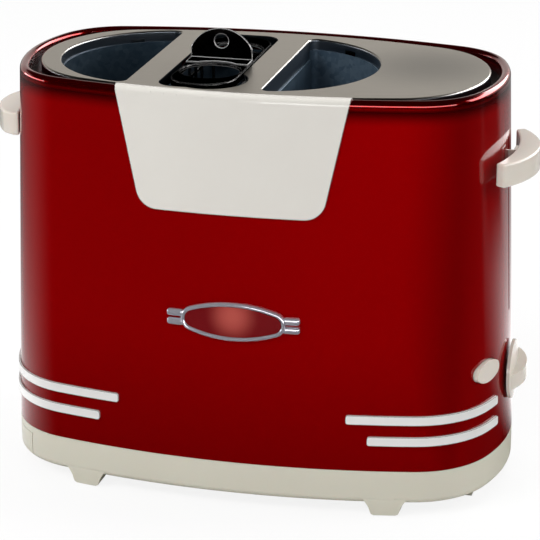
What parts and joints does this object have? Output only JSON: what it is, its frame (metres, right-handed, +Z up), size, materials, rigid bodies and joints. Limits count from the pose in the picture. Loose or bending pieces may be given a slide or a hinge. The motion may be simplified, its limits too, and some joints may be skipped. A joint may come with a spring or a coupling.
{
  "type": "hot dog toaster",
  "caption": "Oval red retro toaster with D-shaped bun wells at both sides of a lift-out sausage basket, a lever, a browning knob, a stop button and a pull-out crumb tray.",
  "frame": {"origin": "centre of the bounding box's bottom face: on the floor under the middle of the toaster", "axes": "+X along the length towards the lever end, -Y to the front with the plate and plaque, +Z up"},
  "size_m": [0.282, 0.1461, 0.2288],
  "materials": {
    "red_enamel": "deep glossy red enamel",
    "ivory_enamel": "glossy ivory enamel",
    "brushed_steel": "fine brushed stainless steel",
    "chrome": "bright plated rim",
    "bright_trim": "bright satin trim",
    "polished_steel": "polished stainless steel",
    "zinc_steel": "zinc-plated pressed steel",
    "galvanised": "galvanised sheet with a bluish bloom",
    "iron": "dark laminated iron",
    "copper": "enamelled copper winding",
    "ivory_plastic": "ivory moulded plastic",
    "dark_plastic": "black moulded plastic",
    "mica": "mica sheet",
    "ribbon": "nickel-chromium ribbon",
    "board": "circuit board",
    "rubber": "black rubber"
  },
  "bodies": {
    "body": {"body_shell": "red_enamel", "panel_ledge": "zinc_steel", "top_panel": "brushed_steel", "front_plate": "ivory_enamel", "badge_bezel": "chrome", "badge_enamel": "red_enamel", "trim_upper_left": "bright_trim", "trim_upper_right": "bright_trim", "trim_lower_left": "bright_trim", "trim_lower_right": "bright_trim", "base_housing": "ivory_plastic", "foot_pads": "rubber", "base_screws": "zinc_steel", "chassis_plate": "zinc_steel", "bun_chamber_left": "galvanised", "bun_chamber_right": "galvanised", "bun_guard_left": "galvanised", "bun_guard_right": "galvanised", "sausage_guard_left": "galvanised", "sausage_guard_right": "galvanised", "sausage_end_front": "galvanised", "sausage_end_back": "galvanised", "heater_board_left": "mica", "heater_board_right": "mica", "heater_ribbon_left": "ribbon", "heater_ribbon_right": "ribbon", "guide_rods": "polished_steel", "mechanism_frame": "zinc_steel", "return_springs": "zinc_steel", "magnet_yoke": "iron", "magnet_coil": "copper", "side_grip": "ivory_plastic", "grip_screws": "zinc_steel", "circuit_board": "board", "timer_case": "dark_plastic", "stop_switch": "dark_plastic", "cord_gland": "rubber"},
    "carriage": {"lever_handle": "ivory_plastic", "lever_arm": "ivory_plastic", "carriage_block": "dark_plastic", "lifter_bar": "zinc_steel", "bun_platform_left": "zinc_steel", "bun_platform_right": "zinc_steel", "sausage_platform": "zinc_steel", "keeper_plate": "zinc_steel"},
    "basket": {"basket_frame": "polished_steel", "basket_tab": "polished_steel", "basket_floor": "polished_steel", "basket_hoops": "polished_steel", "basket_wires": "polished_steel"},
    "browning_knob": {"timer_knob": "ivory_plastic", "timer_shaft": "zinc_steel"},
    "stop_button_body": {"stop_button": "ivory_plastic"},
    "crumb_tray": {"crumb_tray_front": "ivory_plastic", "crumb_tray_pan": "zinc_steel"}
  },
  "joints": [
    {"name": "lever_slide", "type": "slide", "parent": "body", "child": "carriage", "axis": [0, 0, -1], "range_m": [0, 0.072], "stiffness_N_per_m": 150, "springref_m": -0.04, "deforming": ["return_springs"]},
    {"name": "basket_lift", "type": "slide", "parent": "carriage", "child": "basket", "axis": [0, 0, 1], "range_m": [0, 0.095]},
    {"name": "knob_turn", "type": "hinge", "parent": "body", "child": "browning_knob", "pos_m": [0.13, 0, 0.0595], "axis": [1, 0, 0], "range_deg": [0, 270]},
    {"name": "stop_press", "type": "slide", "parent": "body", "child": "stop_button_body", "axis": [-0.9397, 0.342, 0], "range_m": [0, 0.0022], "stiffness_N_per_m": 400, "springref_m": -0.001},
    {"name": "tray_slide", "type": "slide", "parent": "body", "child": "crumb_tray", "axis": [-1, 0, 0], "range_m": [0, 0.14]}
  ]
}
